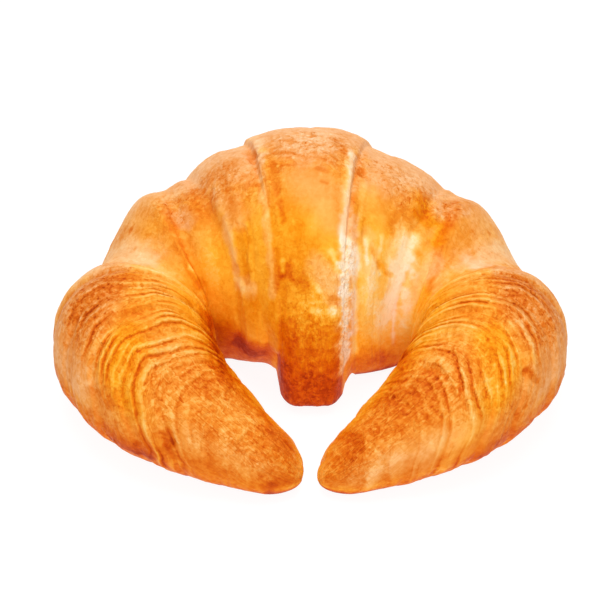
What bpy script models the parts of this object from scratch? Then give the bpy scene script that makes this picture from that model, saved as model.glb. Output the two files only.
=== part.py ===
"""Butter croissant: one baked piece of rolled dough that lies on its flat underside.

The crust is a loft. A spine bends from the middle of the roll into both horns, and a
round section travels along it. Each wrap of the dough is one band of the loft, and at
a seam the surface steps down to the wrap below. The point of the dough comes down the
front of the middle wrap as a flap that reaches the floor. The camera side is -Y.
Lengths are in millimetres until the mesh is made in metres.
"""
from dataclasses import dataclass
from typing import NamedTuple

import bpy
import numpy as np

NAME = "croissant"
MM = 0.001

# Bend of the spine, the same in both halves
TURN = np.radians(157.0)
EVEN_SHARE = 0.275
BEND_START = 10.2
BEND_END = 99.5

# Section
BELLY_SWELL = 12.2
BELLY_REACH = 28.2
MIDDLE_RADIUS = 21.6
MIDDLE_BLEND = 12.0
SECTION_HEIGHT = 0.95
CENTRE_HEIGHT = 0.68
WAIST_PLACE = 46.0
ELBOW_PLACE = 66.0
ELBOW_REACH = 12.0
TIP_LENGTH = 8.0
UNDERCUT = 0.09
UNDERCUT_START = 65.0
UNDERCUT_LENGTH = 25.0
FLOOR_EDGE = 1.2
FLOOR_CUT = 0.3

# Wraps
SEAM_WIDTH = 1.0
TOP_LEAN_POWER = 1.3
WRAP_BULGES = (0.5, 1.4, 0.5, None, 0.6, 0.5, 0.4, 0.4, 0.4, 0.3, 0.2)
SHOULDER_WRAP = 3
SHOULDER_SKEW = 0.5
LOBE_WRAP = 1
LOBE_ANGLE = -0.75
LOBE_SPREAD = 0.5
# Inside the bend of the elbow the horn is pinched and its wraps are pressed together
PINCH_ANGLE = 0.2
PINCH_SPREAD = 0.8
PINCH_PLACE = 65.0
PINCH_REACH = 13.0
CALM_DEPTH = 0.8
CALM_SPREAD = 0.9
CALM_PLACE = 56.0
CALM_REACH = 18.0

# Flap at the front of the middle wrap
FLAP_REACH = 42.0
FLAP_CORNER = 5.0
FLAP_SQUARENESS = 14.0

# Mesh
COLUMN_SPACING = 2.8
ROWS = 48
TIP_COLUMNS = 5
TIP_SHARE = 0.4

# Baked crust
CRUST_COLOUR = (0.855, 0.305, 0.053)
CRUST_ROUGHNESS = 0.45


class Seam(NamedTuple):
    """Edge of a wrap: its place along the spine in front, on top and behind, and its step down."""

    front: float
    top: float
    back: float
    step: float


@dataclass
class Half:
    """One half of the croissant, from the middle of the roll to the tip of its horn."""

    side: int
    length: float
    horn_radius: float
    tip_radius: float
    taper_start: float
    waist_depth: float
    waist_reach: float
    elbow_swell: float
    shoulder_bulge: float
    bend_pinch: float
    front_lobe: float
    seams: tuple


LEFT = Half(
    side=-1,
    length=124.6,
    horn_radius=22.1,
    tip_radius=6.2,
    taper_start=56.0,
    waist_depth=4.0,
    waist_reach=8.2,
    elbow_swell=1.1,
    shoulder_bulge=4.4,
    bend_pinch=3.0,
    front_lobe=0.0,
    seams=(
        Seam(10.2, 14.0, 15.5, 2.4),
        Seam(28.5, 27.5, 27.0, 2.0),
        Seam(49.0, 37.5, 32.5, 0.0),
        Seam(53.0, 48.5, 48.0, 1.6),
        Seam(63.0, 56.5, 62.0, 0.5),
        Seam(74.0, 64.0, 71.0, 0.6),
        Seam(83.0, 71.0, 80.0, 0.8),
        Seam(92.0, 78.5, 88.0, 0.7),
        Seam(102.0, 89.0, 97.0, 0.6),
        Seam(110.0, 100.0, 106.0, 0.4),
    ),
)

RIGHT = Half(
    side=1,
    length=125.3,
    horn_radius=21.1,
    tip_radius=5.3,
    taper_start=58.8,
    waist_depth=3.6,
    waist_reach=8.0,
    elbow_swell=1.7,
    shoulder_bulge=4.0,
    bend_pinch=4.8,
    front_lobe=4.2,
    seams=(
        Seam(10.8, 12.0, 15.5, 2.2),
        Seam(31.0, 31.0, 28.0, 1.0),
        Seam(49.0, 37.0, 33.5, 0.0),
        Seam(53.0, 49.5, 49.5, 1.6),
        Seam(63.0, 57.5, 63.0, 0.5),
        Seam(74.0, 65.0, 73.0, 0.6),
        Seam(83.0, 72.0, 82.0, 0.8),
        Seam(92.0, 79.5, 90.0, 0.7),
        Seam(102.0, 90.0, 98.0, 0.6),
        Seam(110.0, 101.0, 107.0, 0.4),
    ),
)


def ease(x):
    """Smooth step from 0 at x = 0 to 1 at x = 1."""
    x = np.clip(x, 0.0, 1.0)
    return x * x * (3.0 - 2.0 * x)


def hump(x, centre, reach):
    """Bell shape of height 1."""
    return np.exp(-(((x - centre) / reach) ** 2))


def heading(half, along):
    """Direction of the spine: 0 along the roll's middle, growing towards the tip."""
    even = along / half.length
    bend = ease((along - BEND_START) / (BEND_END - BEND_START))
    return TURN * (EVEN_SHARE * even + (1.0 - EVEN_SHARE) * bend)


def spine(half, along):
    """Heading and floor position of the spine at each length along it."""
    samples = np.linspace(0.0, half.length, 400)
    angles = heading(half, samples)
    gap = samples[1] - samples[0]
    steps_x = (np.cos(angles[1:]) + np.cos(angles[:-1])) * gap / 2.0
    steps_y = (np.sin(angles[1:]) + np.sin(angles[:-1])) * gap / 2.0
    path_x = np.concatenate([[0.0], np.cumsum(steps_x)]) * half.side
    path_y = -np.concatenate([[0.0], np.cumsum(steps_y)])
    return heading(half, along), np.interp(along, samples, path_x), np.interp(along, samples, path_y)


def crust_radius(half, along):
    """Radius of the section: belly, waist behind the shoulder, elbow and tapering horn."""
    taper = ease((along - half.taper_start) / (2.0 * (half.length - half.taper_start)))
    radius = half.horn_radius + (half.tip_radius - half.horn_radius) * 2.0 * taper
    radius = radius + (MIDDLE_RADIUS - half.horn_radius) * hump(along, 0.0, MIDDLE_BLEND)
    radius = radius + BELLY_SWELL * hump(along, 0.0, BELLY_REACH)
    radius = radius - half.waist_depth * hump(along, WAIST_PLACE, half.waist_reach)
    return radius + half.elbow_swell * hump(along, ELBOW_PLACE, ELBOW_REACH)


def tip_rounding(half, along):
    """Share of the radius left in the rounded end of the horn."""
    into_tip = np.clip((along - half.length + TIP_LENGTH) / TIP_LENGTH, 0.0, 1.0)
    return np.sqrt(1.0 - into_tip**2)


def seam_place(half, index, angle):
    """Length along the spine of a seam, which leans from front to back."""
    if index == 0:
        return np.zeros_like(angle)
    if index > len(half.seams):
        return np.full_like(angle, half.length)
    seam = half.seams[index - 1]
    level = (seam.front + seam.back) / 2.0
    side_lean = (seam.front - seam.back) / 2.0 * np.cos(angle)
    top_lean = (seam.top - level) * np.clip(np.sin(angle), 0.0, 1.0) ** TOP_LEAN_POWER
    return level + side_lean + top_lean


def seam_step(half, index):
    """Height of the step at a seam; the middle and the tip have none."""
    if index == 0 or index > len(half.seams):
        return 0.0
    return half.seams[index - 1].step


def wrap_lift(half, wrap, share, along, angle):
    """Height of a wrap over the plain section, share being the way from seam to seam."""
    step_before = seam_step(half, wrap)
    step_after = seam_step(half, wrap + 1)
    lift = step_after / 2.0 * ease((share - 0.25) / 0.75) - step_before / 2.0 * (1.0 - ease(share / 0.6))
    bulge = WRAP_BULGES[wrap]
    skew = 1.0
    if wrap == SHOULDER_WRAP:
        bulge = half.shoulder_bulge
        skew = SHOULDER_SKEW
    lift = lift + bulge * np.sin(np.pi * share**skew) * (0.6 + 0.4 * np.sin(angle))
    lift = lift * ease((np.sin(angle) + 0.9) / 0.7)
    turned = (angle + np.pi) % (2.0 * np.pi) - np.pi
    lift = lift * (1.0 - CALM_DEPTH * hump(turned, 0.0, CALM_SPREAD) * hump(along, CALM_PLACE, CALM_REACH))
    pinch = half.bend_pinch * hump(turned, PINCH_ANGLE, PINCH_SPREAD) * hump(along, PINCH_PLACE, PINCH_REACH)
    lift = lift - pinch
    lobe = half.front_lobe * hump(turned, LOBE_ANGLE, LOBE_SPREAD)
    if wrap == LOBE_WRAP:
        lift = lift + lobe * ease(share / 0.2)
    if wrap == LOBE_WRAP + 1:
        lift = lift + lobe * ease((1.0 - share) / 0.9)
    return lift


def horn_undercut(along, angle):
    """Share by which a horn narrows towards the floor."""
    return UNDERCUT * ease(-np.sin(angle) / 0.7) * ease((along - UNDERCUT_START) / UNDERCUT_LENGTH)


def hang_flap(half, along, angle, centre_height, out, rise):
    """Square the front of the middle wrap off into a flap that hangs to the floor."""
    weight = ease((0.45 - np.sin(angle)) / 0.9) * ease((np.cos(angle) + 0.05) / 0.15)
    half_width = half.seams[0].front
    reach = FLAP_REACH - FLAP_CORNER * np.clip(along / half_width, 0.0, 1.0) ** 5
    cosine = np.maximum(np.cos(angle), 0.001)
    down = np.maximum(-np.sin(angle), 0.001)
    power = -FLAP_SQUARENESS
    box = ((reach / cosine) ** power + (centre_height / down) ** power) ** (1.0 / power)
    flap_out = np.maximum(box * cosine, out)
    flap_rise = np.minimum(box * np.sin(angle), rise)
    return out + (flap_out - out) * weight, rise + (flap_rise - rise) * weight


def flatten_on_floor(height):
    """Keep the height above the floor, with a small round edge where they meet."""
    rounded = (height + np.sqrt(height**2 + FLOOR_EDGE**2)) / 2.0
    return np.maximum(rounded - FLOOR_CUT, 0.0)


def wrap_points(half, wrap, share, angle):
    """Points of one column of the crust, at each angle round the section.

    The angle is 0 in front, on the inner side of the bend, and a quarter turn on top.
    """
    start = seam_place(half, wrap, angle)
    end = seam_place(half, wrap + 1, angle)
    if wrap > 0:
        start = start + SEAM_WIDTH / 2.0
    if wrap < len(half.seams):
        end = end - SEAM_WIDTH / 2.0
    along = start + (end - start) * share
    facing, spine_x, spine_y = spine(half, along)
    plain = crust_radius(half, along)
    radius = (plain + wrap_lift(half, wrap, share, along, angle)) * tip_rounding(half, along)
    centre_height = plain * CENTRE_HEIGHT
    out = radius * np.cos(angle) * (1.0 - horn_undercut(along, angle))
    rise = radius * SECTION_HEIGHT * np.sin(angle)
    if wrap == 0:
        out, rise = hang_flap(half, along, angle, centre_height, out, rise)
    x = spine_x - out * half.side * np.sin(facing)
    y = spine_y - out * np.cos(facing)
    z = flatten_on_floor(centre_height + rise)
    return np.stack([x, y, z], axis=-1)


def wrap_shares(half, wrap):
    """Places of the columns of one wrap, as shares of the way from seam to seam."""
    top = np.array(np.pi / 2.0)
    width = seam_place(half, wrap + 1, top) - seam_place(half, wrap, top)
    count = max(3, round(float(width) / COLUMN_SPACING))
    shares = np.linspace(0.0, 1.0, count + 1)
    if wrap < len(half.seams):
        return shares
    quarter_turn = np.linspace(0.0, np.pi / 2.0, TIP_COLUMNS + 1)
    ending = 1.0 - TIP_SHARE * (1.0 - np.sin(quarter_turn))
    return np.concatenate([shares[shares < ending[0] - 0.05], ending])


def half_columns(half):
    """Columns of points from the middle of the roll out to the tip, the last one a point."""
    angle = np.arange(ROWS) * 2.0 * np.pi / ROWS
    columns = []
    for wrap in range(len(half.seams) + 1):
        for share in wrap_shares(half, wrap):
            columns.append(wrap_points(half, wrap, share, angle))
    return columns


def loft(columns):
    """Vertices and faces of a closed tube whose first and last columns are points."""
    rings = columns[1:-1]
    vertices = [columns[0].mean(axis=0)]
    for ring in rings:
        vertices.extend(ring)
    vertices.append(columns[-1].mean(axis=0))
    last = len(vertices) - 1
    faces = []
    for row in range(ROWS):
        after = (row + 1) % ROWS
        faces.append((0, 1 + row, 1 + after))
        for ring in range(len(rings) - 1):
            near = 1 + ring * ROWS
            far = near + ROWS
            faces.append((near + row, far + after, near + after))
            faces.append((near + row, far + row, far + after))
        near = 1 + (len(rings) - 1) * ROWS
        faces.append((near + row, last, near + after))
    return np.array(vertices), faces


def centred(points):
    """Move the points so that the origin is below the middle of their box, on the floor."""
    low = points.min(axis=0)
    high = points.max(axis=0)
    middle = (low + high) / 2.0
    return points - np.array([middle[0], middle[1], low[2]])


def crust_material():
    """Golden brown, half-glossy crust."""
    material = bpy.data.materials.new(NAME + "_crust")
    material.use_nodes = True
    shader = material.node_tree.nodes["Principled BSDF"]
    shader.inputs["Base Color"].default_value = (*CRUST_COLOUR, 1.0)
    shader.inputs["Roughness"].default_value = CRUST_ROUGHNESS
    shader.inputs["Metallic"].default_value = 0.0
    material.diffuse_color = (*CRUST_COLOUR, 1.0)
    return material


def clear_scene():
    """Remove whatever the scene holds."""
    for old in list(bpy.data.objects):
        bpy.data.objects.remove(old, do_unlink=True)


def main():
    """Model the croissant."""
    clear_scene()
    collection = bpy.data.collections.new(NAME)
    bpy.context.scene.collection.children.link(collection)
    left = half_columns(LEFT)
    right = half_columns(RIGHT)
    points, faces = loft(left[::-1] + right[1:])
    points = centred(points) * MM
    mesh = bpy.data.meshes.new(NAME)
    mesh.from_pydata(points.tolist(), [], faces)
    mesh.validate()
    mesh.materials.append(crust_material())
    mesh.shade_smooth()
    mesh.update()
    croissant = bpy.data.objects.new(NAME, mesh)
    collection.objects.link(croissant)


main()
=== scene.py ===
"""Looks of the butter croissant: a finely modelled, browned crust on a pale floor in soft light.

The crust is lofted in the same form as the CAD solid, with far more columns and rows. It
then gets its relief: rims and creases at the seams, thin layers on the horns, blisters,
wrinkles and peeled skin. How far it is toasted, how pink it is and how rough are kept on
its points, and the material's nodes turn them into colours; the toast also carries painted
shade low down and in the bends, and the pink partly a painted sheen high up. Lengths are in
millimetres until a mesh is made.
"""

from dataclasses import dataclass
from typing import NamedTuple

import bpy
import numpy as np
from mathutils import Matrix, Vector


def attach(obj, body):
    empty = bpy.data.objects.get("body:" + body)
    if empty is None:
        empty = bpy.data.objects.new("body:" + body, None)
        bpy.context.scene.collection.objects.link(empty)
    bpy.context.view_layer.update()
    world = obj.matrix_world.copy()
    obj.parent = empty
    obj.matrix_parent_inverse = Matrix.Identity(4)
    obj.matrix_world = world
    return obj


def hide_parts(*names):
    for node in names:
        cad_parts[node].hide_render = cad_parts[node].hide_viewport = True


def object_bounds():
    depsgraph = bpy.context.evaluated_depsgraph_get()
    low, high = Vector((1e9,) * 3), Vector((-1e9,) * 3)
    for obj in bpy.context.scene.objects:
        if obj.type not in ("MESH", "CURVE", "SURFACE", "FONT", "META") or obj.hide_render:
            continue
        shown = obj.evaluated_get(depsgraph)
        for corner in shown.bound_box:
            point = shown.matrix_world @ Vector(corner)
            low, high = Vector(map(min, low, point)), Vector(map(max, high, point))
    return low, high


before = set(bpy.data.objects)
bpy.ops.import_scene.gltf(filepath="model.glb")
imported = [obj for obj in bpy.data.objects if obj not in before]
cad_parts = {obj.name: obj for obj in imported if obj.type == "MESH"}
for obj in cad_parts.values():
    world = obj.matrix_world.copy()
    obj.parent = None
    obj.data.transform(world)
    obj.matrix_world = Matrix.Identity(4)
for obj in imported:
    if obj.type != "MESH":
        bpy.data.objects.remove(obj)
CAD_LOW, CAD_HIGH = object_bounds()

MM = 0.001
BODY = "root"
NODE = "croissant"

# Camera, at the photograph's viewing angle
VIEW_ELEVATION = np.radians(42.0)
VIEW_DISTANCE = 0.7
VIEW_WIDTH = 0.1606
VIEW_AIM = Vector((-0.00277, 0.0017, 0.020))
SENSOR_WIDTH = 36.0

# Bend of the spine, the same in both halves
TURN = np.radians(157.0)
EVEN_SHARE = 0.275
BEND_START = 10.2
BEND_END = 99.5

# Section
BELLY_SWELL = 12.2
BELLY_REACH = 28.2
MIDDLE_RADIUS = 21.6
MIDDLE_BLEND = 12.0
SECTION_HEIGHT = 0.95
CENTRE_HEIGHT = 0.68
WAIST_PLACE = 46.0
ELBOW_PLACE = 66.0
ELBOW_REACH = 12.0
TIP_LENGTH = 8.0
UNDERCUT = 0.09
UNDERCUT_START = 65.0
UNDERCUT_LENGTH = 25.0
FLOOR_EDGE = 1.2
FLOOR_CUT = 0.3

# Wraps
SEAM_WIDTH = 1.0
TOP_LEAN_POWER = 1.3
WRAP_BULGES = (0.5, 1.4, 0.5, None, 0.6, 0.5, 0.4, 0.4, 0.4, 0.3, 0.2)
SHOULDER_WRAP = 3
SHOULDER_SKEW = 0.5
LOBE_WRAP = 1
LOBE_ANGLE = -0.75
LOBE_SPREAD = 0.5
PINCH_ANGLE = 0.2
PINCH_SPREAD = 0.8
PINCH_PLACE = 65.0
PINCH_REACH = 13.0
CALM_DEPTH = 0.8
CALM_SPREAD = 0.9
CALM_PLACE = 56.0
CALM_REACH = 18.0

# Flap at the front of the middle wrap
FLAP_REACH = 42.0
FLAP_CORNER = 5.0
FLAP_SQUARENESS = 14.0

# Dough that runs on from the middle wrap to its neighbours
RUN_ON_TOP = 0.4
RUN_ON_LOW_REACH = 5.2

# Seams that are rounded off, with their reach, and the columns that even out their flow
SOFT_SEAMS = ((2, 1.0), (3, 1.6), (4, 2.4))
SPREAD = 4

# Mesh of the crust
ROWS = 380
MIDDLE_SPACING = 0.24
SHOULDER_SPACING = 0.28
HORN_SPACING = 0.35
HORN_WRAP = 4
FIRST_SEAM_COLUMNS = 8
SEAM_COLUMNS = 3
UNDERSIDE_SPARSENESS = 5.0
UNDERSIDE_TURN = np.radians(46.0)
TIP_COLUMNS = 14
TIP_SHARE = 0.4
SPINE_SAMPLES = 400
ANGLE_SAMPLES = 1441
MEASURED_WRAPS = (0, 1, 2, 3, 5, 7, 9)

# Wandering of seams and layers
WAVER_DEPTH = 0.55
WAVER_LENGTH = 9.0
WAVER_TURN = 0.35
RAGGED_DEPTH = 0.42
RAGGED_SIZE = 2.6


class Seam(NamedTuple):
    """Edge of a wrap: its place along the spine in front, on top and behind, and its step down."""

    front: float
    top: float
    back: float
    step: float


@dataclass
class Half:
    """One half of the croissant, from the middle of the roll to the tip of its horn."""

    side: int
    length: float
    horn_radius: float
    tip_radius: float
    taper_start: float
    waist_depth: float
    waist_reach: float
    elbow_swell: float
    shoulder_bulge: float
    bend_pinch: float
    front_lobe: float
    run_on: float
    run_on_reach: float
    run_on_fade: float
    seams: tuple


LEFT = Half(
    side=-1,
    length=124.6,
    horn_radius=22.1,
    tip_radius=6.2,
    taper_start=56.0,
    waist_depth=4.0,
    waist_reach=8.2,
    elbow_swell=1.1,
    shoulder_bulge=4.4,
    bend_pinch=3.0,
    front_lobe=0.0,
    run_on=1.0,
    run_on_reach=8.0,
    run_on_fade=0.7,
    seams=(
        Seam(10.2, 14, 15.5, 2.4),
        Seam(28.5, 27.5, 27, 2),
        Seam(49, 37.5, 32.5, 0),
        Seam(53, 48.5, 48, 1.6),
        Seam(63, 56.5, 62, 0.5),
        Seam(74, 64, 71, 0.6),
        Seam(83, 71, 80, 0.8),
        Seam(92, 78.5, 88, 0.7),
        Seam(102, 89, 97, 0.6),
        Seam(110, 100, 106, 0.4),
    ),
)

RIGHT = Half(
    side=1,
    length=125.3,
    horn_radius=21.1,
    tip_radius=5.3,
    taper_start=58.8,
    waist_depth=3.6,
    waist_reach=8.0,
    elbow_swell=1.7,
    shoulder_bulge=4.0,
    bend_pinch=4.8,
    front_lobe=4.2,
    run_on=0.75,
    run_on_reach=6.0,
    run_on_fade=0.0,
    seams=(
        Seam(10.8, 12, 15.5, 2.2),
        Seam(31, 31, 28, 1),
        Seam(49, 37, 33.5, 0),
        Seam(53, 49.5, 49.5, 1.6),
        Seam(63, 57.5, 63, 0.5),
        Seam(74, 65, 73, 0.6),
        Seam(83, 72, 82, 0.8),
        Seam(92, 79.5, 90, 0.7),
        Seam(102, 90, 98, 0.6),
        Seam(110, 101, 107, 0.4),
    ),
)


# Small mathematical helpers


def ease(x):
    """Smooth step from 0 at x = 0 to 1 at x = 1."""
    x = np.clip(x, 0.0, 1.0)
    return x * x * (3.0 - 2.0 * x)


def hump(x, centre, reach):
    """Bell shape of height 1."""
    return np.exp(-(((x - centre) / reach) ** 2))


def rising(x, start, width):
    """0 up to the start and 1 from the width beyond it."""
    return ease((x - start) / width)


def falling(x, end, width):
    """1 up to the width short of the end and 0 from the end on."""
    return ease((end - x) / width)


def hashed(cell, seed):
    """Random number from -1 to 1 for each lattice cell."""
    h = np.full(cell.shape[:-1], (seed * 2654435761 + 12345) % 2**32, dtype=np.uint32)
    for axis, prime in enumerate((374761393, 668265263, 2246822519)):
        h = h + cell[..., axis].astype(np.int64).astype(np.uint32) * np.uint32(prime)
    h = (h ^ (h >> np.uint32(15))) * np.uint32(2246822519)
    h = (h ^ (h >> np.uint32(13))) * np.uint32(3266489917)
    h = h ^ (h >> np.uint32(16))
    return h / 2.0**31 - 1.0


def grain(points, seed):
    """Smooth noise from -1 to 1 whose bumps are about one unit wide."""
    cell = np.floor(points)
    inside = points - cell
    weight = inside * inside * (3.0 - 2.0 * inside)
    total = np.zeros(points.shape[:-1])
    for corner in range(8):
        offset = np.array([corner & 1, corner >> 1 & 1, corner >> 2 & 1])
        share = np.where(offset == 1, weight, 1.0 - weight).prod(axis=-1)
        total += share * hashed(cell + offset, seed)
    return total


def clouds(points, size, octaves, seed):
    """Sum of noises, each half as wide and half as strong as the one before."""
    total = np.zeros(points.shape[:-1])
    for octave in range(octaves):
        finer = 2.0**octave
        total += grain(points * (finer / size), seed + 17 * octave) / finer
    return total


def slanted(first, second):
    """Places for a noise with two directions of its own, cut askew so that its lattice doesn't show."""
    return np.stack([first, second, 0.43 * first + 0.31 * second], axis=-1)


# Form of the crust, as the solid has it


def heading(half, along):
    """Direction of the spine: 0 along the roll's middle, growing towards the tip."""
    even = along / half.length
    bend = ease((along - BEND_START) / (BEND_END - BEND_START))
    return TURN * (EVEN_SHARE * even + (1.0 - EVEN_SHARE) * bend)


def spine(half, along):
    """Heading and floor position of the spine at each length along it."""
    samples = np.linspace(0.0, half.length, SPINE_SAMPLES)
    angles = heading(half, samples)
    gap = samples[1] - samples[0]
    steps_x = (np.cos(angles[1:]) + np.cos(angles[:-1])) * gap / 2.0
    steps_y = (np.sin(angles[1:]) + np.sin(angles[:-1])) * gap / 2.0
    path_x = np.concatenate([[0.0], np.cumsum(steps_x)]) * half.side
    path_y = -np.concatenate([[0.0], np.cumsum(steps_y)])
    return heading(half, along), np.interp(along, samples, path_x), np.interp(along, samples, path_y)


def crust_radius(half, along):
    """Radius of the section: belly, waist behind the shoulder, elbow and tapering horn."""
    taper = ease((along - half.taper_start) / (2.0 * (half.length - half.taper_start)))
    radius = half.horn_radius + (half.tip_radius - half.horn_radius) * 2.0 * taper
    radius = radius + (MIDDLE_RADIUS - half.horn_radius) * hump(along, 0.0, MIDDLE_BLEND)
    radius = radius + BELLY_SWELL * hump(along, 0.0, BELLY_REACH)
    radius = radius - half.waist_depth * hump(along, WAIST_PLACE, half.waist_reach)
    return radius + half.elbow_swell * hump(along, ELBOW_PLACE, ELBOW_REACH)


def tip_rounding(half, along):
    """Share of the radius left in the rounded end of the horn."""
    into_tip = np.clip((along - half.length + TIP_LENGTH) / TIP_LENGTH, 0.0, 1.0)
    return np.sqrt(1.0 - into_tip**2)


def seam_place(half, index, angle):
    """Length along the spine of a seam, which leans from front to back."""
    if index == 0:
        return np.zeros_like(angle)
    if index > len(half.seams):
        return np.full_like(angle, half.length)
    seam = half.seams[index - 1]
    level = (seam.front + seam.back) / 2.0
    side_lean = (seam.front - seam.back) / 2.0 * np.cos(angle)
    top_lean = (seam.top - level) * np.clip(np.sin(angle), 0.0, 1.0) ** TOP_LEAN_POWER
    return level + side_lean + top_lean


def seam_step(half, index):
    """Height of the step at a seam; the middle and the tip have none."""
    if index == 0 or index > len(half.seams):
        return 0.0
    return half.seams[index - 1].step


def wrap_lift(half, wrap, share, along, angle):
    """Height of a wrap over the plain section, share being the way from seam to seam."""
    step_before = seam_step(half, wrap)
    step_after = seam_step(half, wrap + 1)
    lift = step_after / 2.0 * ease((share - 0.25) / 0.75) - step_before / 2.0 * (1.0 - ease(share / 0.6))
    bulge = WRAP_BULGES[wrap]
    skew = 1.0
    if wrap == SHOULDER_WRAP:
        bulge = half.shoulder_bulge
        skew = SHOULDER_SKEW
    lift = lift + bulge * np.sin(np.pi * np.clip(share, 0.0, 1.0) ** skew) * (0.6 + 0.4 * np.sin(angle))
    lift = lift * ease((np.sin(angle) + 0.9) / 0.7)
    turned = (angle + np.pi) % (2.0 * np.pi) - np.pi
    lift = lift * (1.0 - CALM_DEPTH * hump(turned, 0.0, CALM_SPREAD) * hump(along, CALM_PLACE, CALM_REACH))
    pinch = half.bend_pinch * hump(turned, PINCH_ANGLE, PINCH_SPREAD)
    lift = lift - pinch * hump(along, PINCH_PLACE, PINCH_REACH)
    lobe = half.front_lobe * hump(turned, LOBE_ANGLE, LOBE_SPREAD)
    if wrap == LOBE_WRAP:
        lift = lift + lobe * ease(share / 0.2)
    if wrap == LOBE_WRAP + 1:
        lift = lift + lobe * ease((1.0 - share) / 0.9)
    return lift


def horn_undercut(along, angle):
    """Share by which a horn narrows towards the floor."""
    return UNDERCUT * ease(-np.sin(angle) / 0.7) * ease((along - UNDERCUT_START) / UNDERCUT_LENGTH)


def hang_flap(half, along, angle, centre_height, out, rise):
    """Square the front of the middle wrap off into a flap that hangs to the floor."""
    weight = ease((0.45 - np.sin(angle)) / 0.9) * ease((np.cos(angle) + 0.05) / 0.15)
    half_width = half.seams[0].front
    reach = FLAP_REACH - FLAP_CORNER * np.clip(along / half_width, 0.0, 1.0) ** 5
    cosine = np.maximum(np.cos(angle), 0.001)
    down = np.maximum(-np.sin(angle), 0.001)
    power = -FLAP_SQUARENESS
    box = ((reach / cosine) ** power + (centre_height / down) ** power) ** (1.0 / power)
    flap_out = np.maximum(box * cosine, out)
    flap_rise = np.minimum(box * np.sin(angle), rise)
    return out + (flap_out - out) * weight, rise + (flap_rise - rise) * weight


def flatten_on_floor(height):
    """Keep the height above the floor, with a small round edge where they meet."""
    rounded = (height + np.sqrt(height**2 + FLOOR_EDGE**2)) / 2.0
    return np.maximum(rounded - FLOOR_CUT, 0.0)


# Columns of the crust, each with the points round one section


class Column(NamedTuple):
    """Points round one section: length along the spine, distances from its line, and wrap."""

    half: Half
    along: np.ndarray
    out: np.ndarray
    rise: np.ndarray
    centre: np.ndarray
    level: float
    flow: float


def waver(half, along, angle):
    """Sideways shift that makes seams and layers wander a little."""
    turns = np.stack([np.cos(angle), np.sin(angle)], axis=-1) / WAVER_TURN
    place = np.stack([along / WAVER_LENGTH, turns[..., 0], turns[..., 1]], axis=-1)
    fade = rising(along, 8.0, 8.0) * falling(along, half.length, 14.0)
    return WAVER_DEPTH * clouds(place, 1.0, 2, 40 + half.side) * fade


def wrap_column(half, wrap, share, angle):
    """Column inside a wrap, share being the way from its first seam to its last."""
    start = seam_place(half, wrap, angle)
    end = seam_place(half, wrap + 1, angle)
    top = np.array([np.pi / 2.0])
    flow = seam_place(half, wrap, top) * (1.0 - share) + seam_place(half, wrap + 1, top) * share
    if wrap > 0:
        start = start + SEAM_WIDTH / 2.0
    if wrap < len(half.seams):
        end = end - SEAM_WIDTH / 2.0
    along = start + (end - start) * share
    along = along + waver(half, along, angle)
    plain = crust_radius(half, along)
    radius = (plain + wrap_lift(half, wrap, share, along, angle)) * tip_rounding(half, along)
    centre = plain * CENTRE_HEIGHT
    out = radius * np.cos(angle) * (1.0 - horn_undercut(along, angle))
    rise = radius * SECTION_HEIGHT * np.sin(angle)
    if wrap == 0:
        out, rise = hang_flap(half, along, angle, centre, out, rise)
    return Column(half, along, out, rise, centre, wrap + share, float(flow[0]))


def moved(column, other, **shares):
    """Column with each named value moved by its share towards the other column's."""
    for name, share in shares.items():
        own = getattr(column, name)
        column = column._replace(**{name: own + (getattr(other, name) - own) * share})
    return column


def between(first, second, share):
    """Column between two others, at a height that steps smoothly from one to the other."""
    high = ease(share)
    return moved(first, second, along=share, out=high, rise=high, centre=high, level=share, flow=share)


def run_on(half, column, edge, angle):
    """Column beside the first seam, lifted to the middle wrap's edge where the dough runs on."""
    degrees = np.degrees(angle)
    offset = column.along - edge.along
    low = falling(degrees, 8.0, 16.0)
    reach = half.run_on_reach + (RUN_ON_LOW_REACH - half.run_on_reach) * low
    strength = half.run_on - (half.run_on - RUN_ON_TOP) * rising(degrees, 62.0, 20.0)
    strength = strength * (1.0 - half.run_on_fade * falling(degrees, -5.0, 12.0))
    share = strength * (1.0 - ease(offset / reach))
    return moved(column, edge, out=share, rise=share, centre=share)


def shares_of(half, wrap):
    """Places of the columns of one wrap, as shares of the way from seam to seam."""
    spacing = SHOULDER_SPACING if wrap < HORN_WRAP else HORN_SPACING
    if wrap == 0:
        spacing = MIDDLE_SPACING
    angles = np.linspace(0.2, 1.0, 9) * np.pi
    width = np.mean(seam_place(half, wrap + 1, angles) - seam_place(half, wrap, angles))
    count = max(3, round(float(width - SEAM_WIDTH) / spacing))
    shares = np.linspace(0.0, 1.0, count + 1)
    if wrap < len(half.seams):
        return shares
    quarter_turn = np.linspace(0.0, np.pi / 2.0, TIP_COLUMNS + 1)
    ending = 1.0 - TIP_SHARE * (1.0 - np.sin(quarter_turn))
    return np.concatenate([shares[shares < ending[0] - 0.01], ending])


def half_columns(half, angle):
    """Columns of one half, from the middle of the roll to the tip of the horn."""
    columns = []
    edge = wrap_column(half, 0, 1.0, angle)
    for wrap in range(len(half.seams) + 1):
        own = [wrap_column(half, wrap, share, angle) for share in shares_of(half, wrap)]
        if wrap == 1:
            own = [run_on(half, column, edge, angle) for column in own]
        if wrap > 0:
            count = FIRST_SEAM_COLUMNS if wrap == 1 else SEAM_COLUMNS
            before = columns[-1]
            for share in np.arange(1, count + 1) / (count + 1.0):
                columns.append(between(before, own[0], share))
        columns.extend(own)
    return columns


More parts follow.
